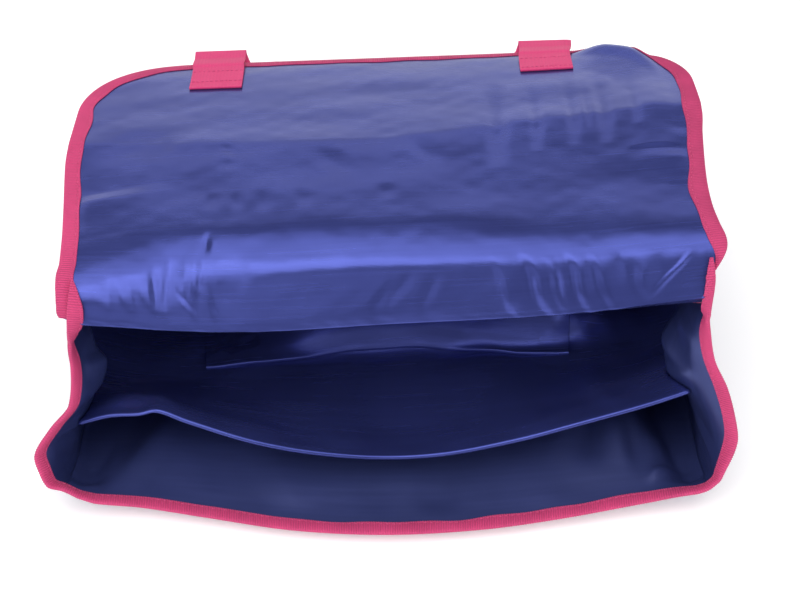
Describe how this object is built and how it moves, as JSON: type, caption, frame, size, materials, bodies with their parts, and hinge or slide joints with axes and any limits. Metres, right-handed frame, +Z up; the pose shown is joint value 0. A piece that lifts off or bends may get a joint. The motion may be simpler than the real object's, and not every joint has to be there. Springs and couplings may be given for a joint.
{
  "type": "school bag",
  "caption": "Soft open school satchel lying on its front, long flap folded back, blue nylon lining, pink bound edges, slack divider, inner slip pocket and webbing tabs.",
  "frame": {"origin": "on the underside of the front panel, which the bag lies on, near the middle of its length", "axes": "+Z up out of the front panel towards the back panel, -Y out of the mouth, +X to the right looking into the mouth"},
  "size_m": [0.3758, 0.2979, 0.1476],
  "materials": {
    "nylon_cloth": "blue-violet woven nylon with a soft shine",
    "pink_tape": "matt ribbed grosgrain tape",
    "pink_webbing": "matt woven webbing"
  },
  "bodies": {
    "root": {"front_panel": "nylon_cloth", "gusset_left": "nylon_cloth", "gusset_right": "nylon_cloth", "base_panel": "nylon_cloth", "back_panel": "nylon_cloth", "flap": "nylon_cloth", "divider": "nylon_cloth", "inner_pocket": "nylon_cloth", "mouth_binding": "pink_tape", "flap_binding": "pink_tape", "back_binding": "pink_tape", "tab_left": "pink_webbing", "tab_right": "pink_webbing"}
  },
  "joints": []
}
